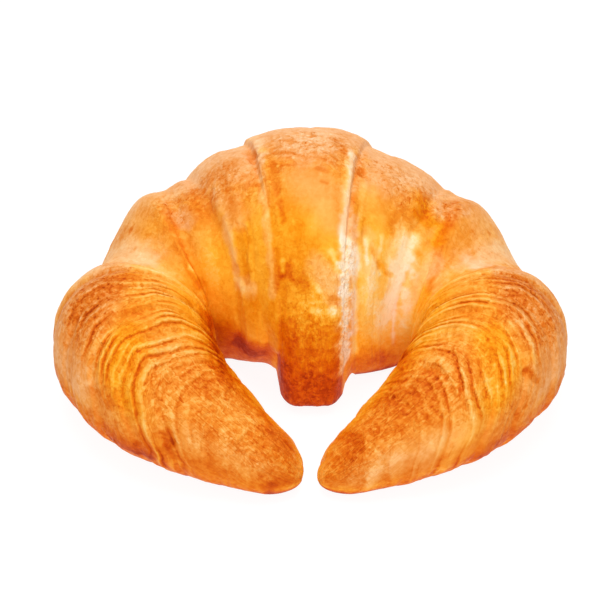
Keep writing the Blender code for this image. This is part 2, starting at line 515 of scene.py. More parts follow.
def even_angles():
    """Angles round the section, even in length along the crust and sparse where it is hidden."""
    fine = np.linspace(-np.pi / 2.0, 3.0 * np.pi / 2.0, ANGLE_SAMPLES)
    lengths = np.zeros(len(fine) - 1)
    for wrap in MEASURED_WRAPS:
        column = wrap_column(LEFT, wrap, 0.5, fine)
        height = flatten_on_floor(column.centre + column.rise)
        lengths += np.hypot(np.diff(column.out), np.diff(height))
    middles = (fine[1:] + fine[:-1]) / 2.0
    below = np.sin(middles) < -np.sin(UNDERSIDE_TURN)
    lengths = np.where(below, lengths / UNDERSIDE_SPARSENESS, lengths) + 1e-6
    travelled = np.concatenate([[0.0], np.cumsum(lengths)])
    targets = np.arange(ROWS) / ROWS * travelled[-1]
    return np.interp(targets, travelled, fine)


# Grid of the whole crust


@dataclass
class Grid:
    """Arrays over the crust: one row for each column of the loft, from the left tip to the right."""

    side: np.ndarray
    along: np.ndarray
    place: np.ndarray
    angle: np.ndarray
    degrees: np.ndarray
    level: np.ndarray
    flow: np.ndarray
    around: np.ndarray
    points: np.ndarray
    normals: np.ndarray
    ragged: np.ndarray


def placed(column):
    """Positions of a column's points, before the whole is centred."""
    side = column.half.side
    facing, spine_x, spine_y = spine(column.half, column.along)
    x = spine_x - column.out * side * np.sin(facing)
    y = spine_y - column.out * np.cos(facing)
    z = flatten_on_floor(column.centre + column.rise)
    return np.stack([x, y, z], axis=-1)


def grid_normals(points):
    """Outward directions of a grid whose rows close round the section."""
    down = np.gradient(points, axis=0)
    across = np.roll(points, -1, axis=1) - np.roll(points, 1, axis=1)
    normals = np.cross(down, across)
    length = np.linalg.norm(normals, axis=-1, keepdims=True)
    return normals / np.maximum(length, 1e-9)


def soften_seams(points, flow):
    """Round off the steps at some seams, where one wrap runs into the next."""
    window = 2 * SPREAD + 1
    flow = np.convolve(np.pad(flow, SPREAD, mode="edge"), np.ones(window), mode="valid") / window
    for half in (LEFT, RIGHT):
        for index, reach in SOFT_SEAMS:
            place = half.side * half.seams[index - 1].top
            near = hump(flow, place, 2.0 * reach)
            weights = hump(flow[:, None], flow[None, :], reach) * np.gradient(flow)
            weights /= weights.sum(axis=1, keepdims=True)
            smooth = np.tensordot(weights, points, axes=1)
            points = points + (smooth - points) * near[:, None, None]
    return points


def make_grid():
    """Grid of the whole croissant, set in the middle of its own box."""
    angle = even_angles()
    columns = half_columns(LEFT, angle)[::-1] + half_columns(RIGHT, angle)[1:]
    along = np.array([column.along for column in columns])
    side = np.array([np.full(ROWS, column.half.side) for column in columns])
    flow = np.array([column.half.side * column.flow for column in columns])
    points = soften_seams(np.array([placed(column) for column in columns]), flow)
    low, high = points.min(axis=(0, 1)), points.max(axis=(0, 1))
    points = points - np.array([(low[0] + high[0]) / 2.0, (low[1] + high[1]) / 2.0, low[2]])
    angles = np.broadcast_to(angle, along.shape)
    radius = np.where(side < 0, crust_radius(LEFT, along), crust_radius(RIGHT, along))
    return Grid(
        side=side,
        along=along,
        place=side * along,
        angle=angles,
        degrees=np.degrees(angles),
        level=np.array([np.full(ROWS, column.level) for column in columns]),
        flow=np.repeat(flow[:, None], ROWS, axis=1),
        around=(angles - np.pi / 2.0) * radius,
        points=points,
        normals=grid_normals(points),
        ragged=RAGGED_DEPTH * clouds(points, RAGGED_SIZE, 3, 19),
    )


# Marks on the crust and the lines of the seams


# Widest mark whose edge is fully ragged, and how far a mark fills its width
RAGGED_WIDTH = 3.2
MARK_FILL = 1.3

# A seam's rim and crease, placed beside the seam, and the fade at its ends
RIM_PLACE = -1.5
RIM_REACH = 1.0
CREASE_PLACE = 0.35
CREASE_REACH = 0.65
SEAM_FADE = 14.0


class Mark(NamedTuple):
    """Soft stroke between two places, each a length along the spine, left negative, and degrees.

    The amount is in hundredths.
    """

    along: float
    degrees: float
    to_along: float
    to_degrees: float
    width: float
    amount: int


def marks(*rows):
    """Marks, each from a row of its six numbers."""
    return [Mark(*row) for row in rows]


def both_sides(*rows):
    """Marks on the right half and their mirror images on the left."""
    right = marks(*rows)
    return right + [mark._replace(along=-mark.along, to_along=-mark.to_along) for mark in right]


def mark_share(grid, mark):
    """1 on a mark and 0 away from it, with an uneven edge that is softer on a wide mark."""
    radius = float(crust_radius(LEFT, np.array(abs(mark.along))))
    gap_along = grid.place - mark.along
    gap_around = np.radians(grid.degrees - mark.degrees) * radius
    run_along = mark.to_along - mark.along
    run_around = np.radians(mark.to_degrees - mark.degrees) * radius
    length = max(run_along**2 + run_around**2, 1e-6)
    share = np.clip((gap_along * run_along + gap_around * run_around) / length, 0.0, 1.0)
    distance = np.hypot(gap_along - share * run_along, gap_around - share * run_around)
    edge = grid.ragged * min(1.0, RAGGED_WIDTH / mark.width)
    return ease(MARK_FILL - distance / mark.width + edge)


def painted(grid, chosen):
    """Sum of the chosen marks, each times its amount."""
    total = np.zeros(grid.along.shape)
    for mark in chosen:
        total += mark.amount / 100.0 * mark_share(grid, mark)
    return total


class SeamLine(NamedTuple):
    """How a seam shows between two angles: rim and crease in relief, and both in toast."""

    side: int
    index: int
    low: float
    high: float
    rim: float
    crease: float
    rim_toast: float
    crease_toast: float


SEAM_LINES = (
    SeamLine(-1, 1, 84, 125, 0.12, 0.3, -0.08, 0.1),
    SeamLine(1, 1, 40, 100, 0.18, 0.4, -0.18, 0.12),
    SeamLine(-1, 2, 22, 88, 0.25, 0.12, -0.1, 0.02),
    SeamLine(1, 2, 62, 110, 0.05, 0.15, 0, 0.06),
    SeamLine(-1, 3, 28, 120, 0.05, 0.3, 0, 0.06),
    SeamLine(1, 3, 50, 120, 0.05, 0.25, 0, 0.03),
    SeamLine(-1, 5, 60, 170, 0.12, 0.25, -0.08, 0.08),
    SeamLine(1, 5, 60, 170, 0.12, 0.25, -0.08, 0.08),
)


def seam_masks(grid, line):
    """Where a seam's rim and its crease are."""
    half = LEFT if line.side < 0 else RIGHT
    place = seam_place(half, line.index, grid.angle)
    offset = grid.along - place - waver(half, place, grid.angle) + 0.5 * grid.ragged
    extent = rising(grid.degrees, line.low - SEAM_FADE / 2.0, SEAM_FADE)
    extent = extent * falling(grid.degrees, line.high + SEAM_FADE / 2.0, SEAM_FADE)
    extent = extent * (grid.side == line.side)
    return hump(offset, RIM_PLACE, RIM_REACH) * extent, hump(offset, CREASE_PLACE, CREASE_REACH) * extent


# Relief of the crust


PLAIN_ROUGHNESS = 0.3
ELBOW_START = 56.0
FAN_PLACE = 51.0
FAN_REACH = 11.0
FOREARM_START = 84.0
FOREARM_FADE = 10.0

# Lumps of the skin: size and height
BROAD_LUMPS = (11.0, 0.3)
BLISTERS = (3.4, 0.2)
PIMPLES = (1.3, 0.1)

# Folds that run round the wraps
WRINKLE_WIDTH = 2.6
WRINKLE_LENGTH = 17.0
WRINKLE_HEIGHT = 0.18

# Peeled flakes: length along the roll and width round it, on the wraps and on the forearms
WRAP_FLAKES = (2.4, 5.5)
FOREARM_FLAKES = (5.0, 2.4)
FLAKE_STEPS = 2.6
FLAKE_HEIGHT = 0.2

# Thin layers round the horns; they wander by shares of a layer
LAYER_WANDER = 0.7
LAYER_SPREAD = 0.25
LAYER_WAVER = 0.14
LAYERS_IN_WRAP = 2.4
LAYERS_ADDED = 0.8
ADDED_FROM_WRAP = 5.0
LAYER_HEIGHT = 0.6
LAYER_EDGE = 1.45
LAYER_FOOT = 1.2

# Relief lost inside the bends, and height over the floor at which it is whole
BEND_CALM = 0.85
FLOOR_CALM = 4.0

DENTS = marks(
    (-16.2, 109, -14.6, 98, 1.2, 60),
    (13.9, 90, 13.7, 88, 1.3, 80),
    (-22.6, 56, -25.4, 35, 2.6, 60),
    (-95, 160, -95, 152, 1.5, 60),
    (75.8, 156, 76.6, 143, 0.8, 50),
    (-10.8, 86, -9.2, 70, 1.6, 30),
    (-9.2, 70, -8.2, 55, 1.2, 30),
    (16, 54, 19, 44, 1.2, 35),
    (19.5, 48, 24, 42, 1.3, 35),
    (24, 42, 30, 40, 1.3, 30),
    (37, 45, 37, 15, 1.6, 30),
)
ROUGH_SPOTS = both_sides(
    (61, 92, 66, 135, 9, 40),
    (78, 95, 84, 140, 12, 25),
    (94, 90, 114, 110, 15, 45),
    (24, 96, 34, 104, 7, 40),
    (2, 102, 8, 94, 9, 42),
    (5, 28, 5, 14, 6, 35),
    (3, 5, 3, -25, 8, 25),
) + marks(
    (11.5, 44, 11.5, -12, 2.4, 120),
    (28, 82, 26, 64, 4, 15),
    (-24, 86, -16, 76, 5, 30),
    (-1, 74, 5, 52, 7, -26),
    (18, 78, 22, 60, 5, -20),
    (94, 164, 106, 146, 9, -25),
)


def roughness_of(grid):
    """How flaky the crust is, from smooth golden skin at 0 to crumbly edges above 1."""
    return PLAIN_ROUGHNESS + painted(grid, ROUGH_SPOTS)


def skin_lumps(grid, rough):
    """Softly uneven surface of baked dough, with blisters where it is rough."""
    total = np.zeros(grid.along.shape)
    for (size, height), share, seed in ((BROAD_LUMPS, 1.0, 3), (BLISTERS, rough, 5), (PIMPLES, rough, 7)):
        total += clouds(grid.points, size, 2, seed) * height * share
    return total


def wrinkles(grid):
    """Shallow folds that run round the wraps."""
    place = slanted(grid.flow / WRINKLE_WIDTH, grid.around / WRINKLE_LENGTH)
    return WRINKLE_HEIGHT * clouds(place, 1.0, 2, 23)


def fan_share(grid):
    """1 where the crust is stretched in a fan from the inner bend, and 0 on the rest."""
    return hump(np.abs(grid.flow), FAN_PLACE, FAN_REACH)


def forearm_share(grid):
    """1 on the forearms, where the grain runs along the horn, and 0 on the rest."""
    return rising(np.abs(grid.flow), FOREARM_START, FOREARM_FADE)


def flakes(grid, rough):
    """Peeled skin in shallow terraces, drawn out along the forearms: height, edge and foot."""
    total = np.zeros((3, *grid.along.shape))
    forearm = forearm_share(grid)
    for weight, (length, width) in ((1.0 - forearm, WRAP_FLAKES), (forearm, FOREARM_FLAKES)):
        count = FLAKE_STEPS * clouds(slanted(grid.flow / length, grid.around / width), 1.0, 2, 91)
        share = count - np.floor(count)
        edge = rising(share, 0.65, 0.22) * falling(share, 1.02, 0.1)
        foot = falling(share, 0.3, 0.22) * rising(share, -0.03, 0.08)
        total += np.stack([FLAKE_HEIGHT * (share - 0.5), edge, foot]) * weight
    layered = rising(np.abs(grid.flow), ELBOW_START, 8.0) * (1.0 - forearm)
    return total * rough * (1.0 - 0.6 * layered)


def rising_outwards(values, side):
    """The values, kept from falling on the way from the middle to either tip."""
    right = np.maximum.accumulate(np.where(side > 0, values, -1.0), axis=0)
    left = np.maximum.accumulate(np.where(side < 0, values, -1.0)[::-1], axis=0)[::-1]
    return np.where(side > 0, right, left)


def layers(grid):
    """Thin layers that lie round the horns, each rising to an edge: height, edge and foot."""
    wander = slanted(grid.flow / 12.0, grid.around / 10.0)
    spread = slanted(grid.flow / 3.5, grid.around / 30.0)
    count = LAYERS_IN_WRAP * grid.level + LAYERS_ADDED * np.maximum(grid.level - ADDED_FROM_WRAP, 0.0)
    count = count + LAYER_WANDER * clouds(wander, 1.0, 1, 61) + LAYER_SPREAD * grain(spread, 67)
    count = rising_outwards(count + LAYER_WAVER * clouds(grid.points, 3.2, 1, 73), grid.side)
    gaps = np.maximum(np.abs(np.gradient(grid.flow, axis=0)), 0.1)
    rise = np.abs(np.gradient(count, axis=0)) / gaps
    number = np.floor(count)
    share = count - number
    patch = np.stack([number * 3.7, grid.around / 6.5, grid.side * 5.0], axis=-1)
    strength = np.clip(0.65 + 1.4 * grain(patch, 71), 0.12, 1.5)
    out = np.abs(grid.flow)
    strength = strength * rising(out, ELBOW_START, 10.0) * (1.0 - 0.7 * rising(out, 86.0, 12.0))
    strength = strength * rising(np.sin(grid.angle), -0.75, 0.6) * rising(rise, 0.0, 0.12)
    outer = 1.0 - 0.85 * rising(grid.degrees, 134.0, 16.0) * falling(out, 85.0, 7.0)
    height = LAYER_HEIGHT * (share**1.8 - 0.36) * strength * (0.35 + 0.65 * outer)
    edge = LAYER_EDGE * rising(share, 0.4, 0.42) * falling(share, 1.02, 0.12) * strength
    foot = LAYER_FOOT * falling(share, 0.38, 0.3) * rising(share, -0.04, 0.1) * strength
    return height, edge * outer, foot * outer


def seam_relief(grid):
    """Rims above the seams and creases below them."""
    total = np.zeros(grid.along.shape)
    for line in SEAM_LINES:
        rim, crease = seam_masks(grid, line)
        total += line.rim * rim - line.crease * crease
    return total


def calm(grid):
    """Share of the relief that is kept: less inside the bends and near the floor."""
    turned = (grid.angle + np.pi) % (2.0 * np.pi) - np.pi
    inner = hump(turned, 0.0, 1.0) * hump(grid.along, 66.0, 28.0)
    return (1.0 - BEND_CALM * inner) * rising(grid.points[..., 2], 0.0, FLOOR_CALM)


# Colours of the crust, as how far each point is toasted, painted shade and painted sheen among them


TOAST_BASE = 0.495
BROAD_TOAST = 0.07
ROUGH_TOAST = 0.04
WRINKLE_TOAST = 0.15
FAN_TOAST = 0.1
EDGE_TOAST = 0.11
FOOT_TOAST = 0.14
# Painted sheen high on the middle wraps: how much paler and how much pinker it makes the crust
TOP_SHEEN_TOAST = 0.05
TOP_SHEEN_BLUSH = 0.6
# Pink on the upper faces, less on the horns: a painted sheen
HIGH_SHEEN_BLUSH = 0.22
FLAP_EDGE = 11.4
# Darker and paler marks: mostly the crust's own toast, some painted shade under the belly, in the bends
# and on underside rims
TOAST_AND_SHADE_MARKS = both_sides(
    # Shoulders
    (46, 148, 48.5, 98, 3.6, -16),
    (42.4, 124, 42.4, 123, 0.6, 22),
    (46.5, 112, 46, 110, 0.6, 14),
    (49.2, 84, 50, 70, 2.6, -10),
    # Elbows and forearms
    # Darker along the underside rims of the elbows and forearms: painted contact shadow (three marks)
    (60, 184, 88, 188, 5, 14),
    (86, 182, 108, 176, 6, 14),
    (84, 178, 116, 174, 7, 7),
    (80, 165, 80, 157, 2.5, 10),
    (92, 148, 116, 148, 10, 7),
    (55.5, 134, 56, 52, 5, -8),
    (78, 118, 84, 148, 8, 5),
    (74, 118, 84, 134, 5, -6),
    (62, 108, 68, 150, 7, 8),
    (80, 103, 80, 86, 3, -6),
    (58, 100, 67, 128, 8, 13),
    (90, 98, 108, 96, 13, 9),
    (55, 92, 64, 94, 4, -6),
    (86, 84, 100, 116, 8, 5),
    (118, 80, 120, 150, 6, 20),
    (56, 70, 58, 45, 6, -3),
    (80, 66, 86, 52, 4, -3),
    (98, 60, 118, 74, 4.5, 13),
    (88, 56, 96, 56, 4.5, 11),
    (80, 28, 96, 46, 3.5, 10),
    # Darker low on the inside of each bend: painted shade
    (70, 12, 90, 22, 5, 22),
) + marks(
    # Middle wrap and flap
    (-4.5, 115, 1.8, 112, 0.6, 12),
    (-6, 110, 0, 106, 0.8, -9),
    (-8, 104, -3.5, 101, 0.6, 12),
    (-1.5, 101, 1.5, 98, 0.7, 14),
    (-7, 98, -2, 94.5, 0.8, -9),
    (-9.5, 94, -3, 90, 0.6, 12),
    (-6, 88, 4, 85, 7, 5),
    (-10.8, 86, -9.2, 70, 1.6, 14),
    (-8, 84, -4.5, 84, 1, 14),
    (-8.9, 65, -8.2, 55, 1.1, 15),
    (0, 55, 0, 50, 2, -6),
    (-3.4, 53, -4, 45, 2, 5),
    (-11, 42, -11, 26, 1.6, 12),
    (-9, 37, -9, 33, 1, -26),
    (-5, 35, -4.5, 29, 1.5, -10),
    (-8, 33, -3, 25, 2.8, 18),
    (-8, 26, -8, 2, 4, 10),
    (-8, -6, -8, -20, 3, 7),
    (0, 112, 3, 101, 7, -5),
    (5.6, 106, 8.4, 96, 1.2, 18),
    (2, 105, 7, 101, 0.8, -9),
    (11.2, 96, 10.4, 48, 1.4, -22),
    (2, 95, 6, 95.5, 0.7, -9),
    (4, 92, 7, 89, 0.8, 12),
    (3, 87, 8, 84.5, 0.6, 12),
    (1.5, 82, 4.5, 80, 0.8, 12),
    (3, 74, 4.5, 73, 0.7, 14),
    (4, 60, 7, 42, 4, -9),
    (10.8, 46, 11.4, -14, 2, -46),
    (6.4, 41, 7.6, 37, 1, -20),
    (8.6, 36, 8.4, 33, 1.1, -30),
    (3, 34, 7, 20, 5.5, -10),
    (2, 24, 2.5, 22, 1, -20),
    (7, 19.5, 9, 18.5, 1.5, 20),
    (7.5, 14, 9, 12.5, 1.5, -28),
    (0.5, 13, 2.5, 12, 1.5, -20),
    (6, 8, 7, -4, 4, -5),
    # Shoulders
    (-34, 124, -42, 106, 5, 4),
    (-16, 124, -17, 96, 3, -7),
    (-13, 112, -12.5, 98, 1.8, -12),
    (-16.2, 109, -14.6, 98, 1.2, 10),
    (-28, 104, -20, 100, 3.5, 10),
    (-36.5, 104, -39.4, 90, 2, 12),
    (-14.2, 100, -12.8, 60, 1, -10),
    (-32, 100, -30, 84, 5, 12),
    (-36, 99, -35, 90, 3, -3),
    (-13.4, 92, -12.2, 64, 0.4, 12),
    (-23, 87, -23, 68, 2.4, 10),
    (-27, 86, -13.5, 78, 1.2, 10),
    (-26, 84, -22, 66, 3, -4),
    (-41.6, 80, -46.6, 50, 2, 13),
    (-34, 70, -37, 45, 2.6, -8),
    (-16, 70, -16, 58, 2.2, -7),
    (-27, 66, -27.6, 46, 1.6, -8),
    (-44, 62, -44, 61, 1, -22),
    (-12.8, 60, -12.3, 20, 1, -8),
    (-22.6, 54, -25, 38, 3.2, 11),
    (-44, 46, -47, 28, 3, 12),
    (-22, 46, -25, 14, 11, -6),
    (-28.6, 36, -26, 28, 1.6, -12),
    (-26, 27, -20, 26, 1.5, -14),
    (-16, 22, -17, 4, 3, -8),
    (-24.5, 18, -18, 10, 7, 8),
    # Dark under the left belly: painted shade
    (-16, -18, -31, -10, 5, 32),
    (36, 128, 38, 120, 3, 9),
    (16, 122, 16.5, 66, 3, -9),
    (34.5, 112, 37.3, 95, 2.2, 15),
    (29, 98, 32, 84, 3, 14),
    (13.9, 91, 13.7, 88, 1.2, 20),
    (37.6, 90, 40.6, 77, 2.2, 14),
    (28.5, 82, 26, 66, 3, 7),
    (14.6, 82, 14.2, 52, 0.9, -10),
    (42.2, 68, 47.5, 52, 2, 15),
    (27, 67, 29, 52, 2.5, 12),
    (31, 62, 34.5, 30, 5, -42),
    (21, 62, 22, 38, 4, -6),
    (41, 60, 43, 22, 5, -17),
    (22.5, 56, 23, 51, 1.1, -16),
    (36, 56, 38, 46, 2.5, -16),
    (17, 51, 18.2, 41, 1.3, -32),
    (19.5, 48, 24, 42, 1.1, 12),
    (14.8, 46, 15.6, 36, 1.2, -16),
    (35, 44, 35, 30, 2.6, -14),
    (13.4, 44, 15, -14, 1.6, -24),
    (21, 44, 23, 4, 11, -15),
    (38, 42, 41, 28, 3, -9),
    (24, 42, 30, 40, 1.2, 12),
    (21, 40, 22, 30, 3.5, -8),
    (28, 39, 32, 40, 0.9, 14),
    (35.7, 33, 36.7, 21, 1, -20),
    (35, 30, 32.5, 12, 2.6, -18),
    (20, 28, 28, 14, 5, -8),
    (36, 20, 54, 10, 8, -16),
    (37, 17, 38.2, -10, 0.8, -18),
    (24, 16, 36, 4, 9, -11),
    (33, 14, 40, 2, 7, -12),
    (29, 2, 32, -8, 5, -9),
    # Darker under the right belly: painted shade
    (22, -14, 30, -20, 5, 14),
    # Elbows and forearms
    # Darker on the underside rim of the left horn: painted contact shadow
    (-118, 184, -121, 162, 4, 11),
    (-88, 172, -89, 158, 2.5, -8),
    (-95, 163, -94.5, 150, 1.5, 18),
    (-106, 148, -112, 140, 4, 8),
    (-119, 148, -119, 124, 3, -8),
    (-72, 112, -72, 90, 3, 6),
    (-80, 112, -85, 66, 3, -6),
    (-96, 88, -97, 54, 5, 11),
    (-112, 84, -117, 72, 3, -7),
    (-88, 36, -112, 53, 3.5, 10),
    # Darker in the inner fold of the left bend: painted shade (two marks)
    (-62, 24, -84, 32, 5, 19),
    (-60, 16, -70, 12, 5, 16),
    # Darker on the underside rim of the right horn: painted contact shadow
    (97, 182, 105, 176, 3, 8),
    (104, 166, 116, 160, 6, -8),
    (94, 166, 112, 145, 9, -8),
    (75.8, 157, 76.6, 142, 0.8, 20),
    (104, 150, 104, 138, 3, 6),
    (60, 150, 66, 112, 5, 6),
    (98, 140, 106, 150, 6, 6),
    (48, 116, 56, 112, 3, -5),
    (72, 104, 71, 78, 3, 6),
    (94, 104, 108, 96, 11, 8),
    (94, 93, 102, 93, 4, 10),
    (49, 86, 54, 100, 4, -7),
    (101, 84, 105, 64, 3, 5),
    (111, 78, 119, 80, 3, -7),
    (109, 68, 119, 74, 3.5, -10),
    (94, 68, 104, 76, 3.5, -7),
    (48, 62, 53, 54, 4, -8),
    (72, 60, 74, 38, 4, -11),
    (87, 43, 90, 30, 3.5, 16),
)
# Pinker, paler marks: partly the crust's own hue, partly painted sheen high up and on the outer sides
BLUSH_AND_SHEEN_MARKS = both_sides(
    # Pale pink high on the middle wrap and the shoulders: painted sheen
    (3, 112, 3, 99, 9, 80),
    (24, 108, 20, 94, 8, 68),
    (44, 136, 47, 96, 6, 20),
    (55, 136, 56, 102, 3, 45),
    # Pale pink on the outer sides of the elbows: painted sheen
    (64, 120, 68, 165, 9, 75),
    (76, 160, 84, 178, 7, 40),
    (100, 160, 116, 150, 8, 25),
    (92, 110, 114, 110, 16, 20),
    (78, 110, 84, 142, 6, -25),
    (46, 146, 49, 96, 4.5, 40),
    (6, 112, 24, 106, 5, 22),
) + marks(
    # Middle wrap and flap
    (11.4, 96, 10.6, 52, 1.8, 60),
    (-2, 80, 7, 58, 7, 30),
    (11.2, 58, 11.6, -14, 3, 80),
    (2, 34, 8, 22, 4, 40),
    # Shoulders
    (-38, 118, -42, 104, 4, -15),
    (-14, 98, -12.4, 22, 1.5, 30),
    (-36, 97, -35, 88, 3, 80),
    (-26, 84, -22, 66, 3.5, 35),
    (-26.5, 70, -27.5, 40, 1.6, 40),
    (-28, 32, -21, 26, 2.5, 35),
    (36, 108, 35, 100, 4, 60),
    (29, 98, 32, 84, 3, -30),
    (36.5, 92, 38.5, 80, 2.5, -30),
    (42, 64, 42, 34, 4, 40),
    (45, 62, 52, 52, 3.5, 30),
    (31, 60, 35, 24, 5.5, 35),
    (36, 56, 38, 46, 3, 30),
    (17, 52, 20, 38, 4, 25),
    (13.4, 44, 14.6, 0, 2, 45),
    (35, 44, 33, 12, 3, 25),
    (21, 40, 22, 30, 3.5, 15),
    (36.4, 28, 38.2, -10, 1.5, 50),
    # Elbows and forearms
    (-119, 80, -117, 66, 3.5, 22),
    (104, 168, 119, 164, 5, 28),
    (47, 84, 53, 100, 4, 20),
)
SPECK_MARKS = both_sides(
    (59, 100, 67, 136, 7, 75),
    (36, 104, 35, 92, 4, 70),
    (44, 128, 47, 108, 5, 40),
    (76, 110, 80, 150, 7, 30),
    (98, 72, 112, 90, 5, 40),
) + marks(
    (16, 102, 26, 88, 5, 90),
    (-26, 100, -20, 90, 5, 50),
    (12, 92, 12.4, 45, 0.8, 60),
    (12.8, 45, 14, 5, 1.6, 50),
)


def painted_top_sheen(grid):
    """Painted sheen: paler, pinker crust high on the middle wraps, which ends down the back."""
    band = rising(grid.degrees, 92.0, 26.0) * falling(grid.degrees, 168.0, 28.0)
    return band * falling(grid.along, 44.0, 8.0)


def low_toast_and_shade(grid):
    """Darker crust on the flap and low on the belly: painted shade and contact shadow, with the flap's own
    browning.
    """
    on_flap = falling(grid.along, FLAP_EDGE, 1.2)
    degrees = grid.degrees + 4.0 * clouds(grid.points, 3.0, 2, 33)
    # On the flap: its own browning together with painted shade, darker down towards the floor.
    flap = 0.14 * falling(degrees, 18.0, 9.0) + 0.06 * falling(degrees, 8.0, 8.0)
    flap = flap + 0.2 * falling(degrees, -4.0, 16.0)
    # Painted shade in the undercut low on the belly, beside the flap on both sides.
    left_line = 36.0 - 1.45 * (50.0 - grid.along)
    beside = rising(grid.along, 11.0, 3.0) * falling(grid.along, 55.0, 4.0)
    left = 0.29 * falling(degrees, left_line, 20.0)
    right = 0.2 * falling(degrees, -15.0, 12.0)
    # Painted contact shadow near the floor and on the undersides of the horns.
    bottom = 0.3 * falling(grid.points[..., 2], 3.4, 2.6)
    bottom = bottom + 0.22 * rising(grid.degrees, 182.0, 18.0) * rising(grid.along, 55.0, 8.0)
    return flap * on_flap + np.where(grid.side < 0, left, right) * beside + bottom


def crust_toast_shade_and_sheen(grid, rough, edge, foot):
    """How far the crust is toasted, painted shade and painted sheen included: 0 is cream, 1 is dark brown.
    """
    toast_shade_and_sheen = TOAST_BASE + BROAD_TOAST * clouds(grid.points, 15.0, 2, 11)
    toast_shade_and_sheen += ROUGH_TOAST * rough * clouds(grid.points, 4.5, 2, 13)
    toast_shade_and_sheen += painted(grid, TOAST_AND_SHADE_MARKS) + low_toast_and_shade(grid) - TOP_SHEEN_TOAST * painted_top_sheen(grid)
    fan = slanted(grid.flow / 1.8, grid.around / 10.0)
    toast_shade_and_sheen -= WRINKLE_TOAST * wrinkles(grid) + FAN_TOAST * fan_share(grid) * clouds(fan, 1.0, 2, 29)
    for line in SEAM_LINES:
        rim, crease = seam_masks(grid, line)
        toast_shade_and_sheen += line.rim_toast * rim + line.crease_toast * crease
    return np.clip(toast_shade_and_sheen - EDGE_TOAST * edge + FOOT_TOAST * foot, 0.0, 1.0)


def crust_blush_and_sheen(grid):
    """How far the crust leans from golden to pink: partly its own hue, partly a painted sheen on upper
    faces and outer sides.
    """
    high = HIGH_SHEEN_BLUSH * rising(grid.degrees, 52.0, 26.0) * (1.0 - 0.25 * rising(grid.along, 62.0, 10.0))
    return np.clip(high + painted(grid, BLUSH_AND_SHEEN_MARKS) + TOP_SHEEN_BLUSH * painted_top_sheen(grid), 0.0, 1.0)


# Meshes


def loft(points):
    """Vertices and faces of a tube, closed at both ends towards a point inside."""
    columns, rows = points.shape[:2]
    vertices = np.concatenate([points.reshape(-1, 3), [points[0].mean(axis=0), points[-1].mean(axis=0)]])
    index = np.arange(columns * rows).reshape(columns, rows)
    near, far = index[:-1], index[1:]
    quads = np.stack([near, far, np.roll(far, -1, axis=1), np.roll(near, -1, axis=1)], axis=-1)
    first, last = index[0], index[-1]
    pole = np.full(rows, columns * rows)
    start = np.stack([pole, first, np.roll(first, -1)], axis=-1)
    end = np.stack([last, pole + 1, np.roll(last, -1)], axis=-1)
    return vertices, start.tolist() + quads.reshape(-1, 4).tolist() + end.tolist()


def with_ends(values):
    """Values of the grid as a list, with one more for the point inside each end."""
    flat = values.reshape(-1, *values.shape[2:])
    return np.concatenate([flat, flat[:1], flat[-1:]])


def new_object(name, data):
    """Object of a mesh, light or camera, in the scene."""
    item = bpy.data.objects.new(name, data)
    bpy.context.scene.collection.objects.link(item)
    return item


def make_piece(name, points, normals, attributes, material):
    """Mesh object of a piece that stands for the solid."""
    vertices, faces = loft(points)
    mesh = bpy.data.meshes.new(name)
    mesh.from_pydata((vertices * MM).tolist(), [], faces)
    for label, values in attributes.items():
        kind = "FLOAT_VECTOR" if values.ndim == 3 else "FLOAT"
        layer = mesh.attributes.new(label, kind, "POINT")
        field = "vector" if values.ndim == 3 else "value"
        layer.data.foreach_set(field, with_ends(values).astype(np.float32).ravel())
    mesh.materials.append(material)
    mesh.shade_smooth()
    mesh.normals_split_custom_set_from_vertices(with_ends(normals))
    mesh.update()
    piece = new_object(name, mesh)
    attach(piece, BODY)
    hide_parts(NODE)
    return piece


# Material


# Screen colours of the crust from untoasted to dark, golden and pink
TOAST_STOPS = (0.0, 0.2, 0.4, 0.55, 0.7, 0.85, 1.0)
GOLDEN = (
    (253, 228, 168),
    (253, 202, 98),
    (251, 172, 44),
    (239, 142, 14),
    (224, 109, 2),
    (204, 78, 0),
    (167, 50, 0),
)
PINK = (
    (253, 232, 204),
    (252, 208, 158),
    (246, 184, 126),
    (235, 154, 80),
    (225, 124, 38),
    (206, 92, 12),
    (168, 60, 4),
)

# Toast across the edge of a flake, from its dark foot to its light lip, as a noise rises
EDGE_PROFILE = ((0.41, 0.0), (0.455, 0.35), (0.485, 0.8), (0.525, -0.85), (0.56, -0.45), (0.62, 0.0))

# Grains in bumps per metre, and how far each swings the toast round the mean
FINE_GRAIN = 1400.0
MIDDLE_GRAIN = 700.0
CRACKLE_GRAIN = 420.0
SPECK_GRAIN = 900.0
CRUMB_GRAIN = 610.0
FINE_TOAST = 0.06
MIDDLE_TOAST = 0.52
MEAN_TOAST = 0.29
CRACKLE_TOAST = 0.09
STRAND_TOAST = 0.12
SPECK_TOAST = 0.2
CRUMB_TOAST = -0.12

# Share of the swing and bumps that smooth skin keeps
SMOOTH_SHARE = 0.15

# Bumps too fine for the mesh, and gloss
BUMP_STRENGTH = 0.45
BUMP_DISTANCE = 0.0003
CRUST_SPECULAR = 0.05
CRUST_ROUGHNESS = (0.42, 0.58)

# Sockets of a Mix node for colours
MIX_FIRST, MIX_SECOND, MIX_RESULT = 6, 7, 2


def linear(red, green, blue):
    """Scene colour of a screen colour given in 0 to 255."""
    screen = np.array([red, green, blue]) / 255.0
    value = np.where(screen <= 0.04045, screen / 12.92, ((screen + 0.055) / 1.055) ** 2.4)
    return (*value.tolist(), 1.0)


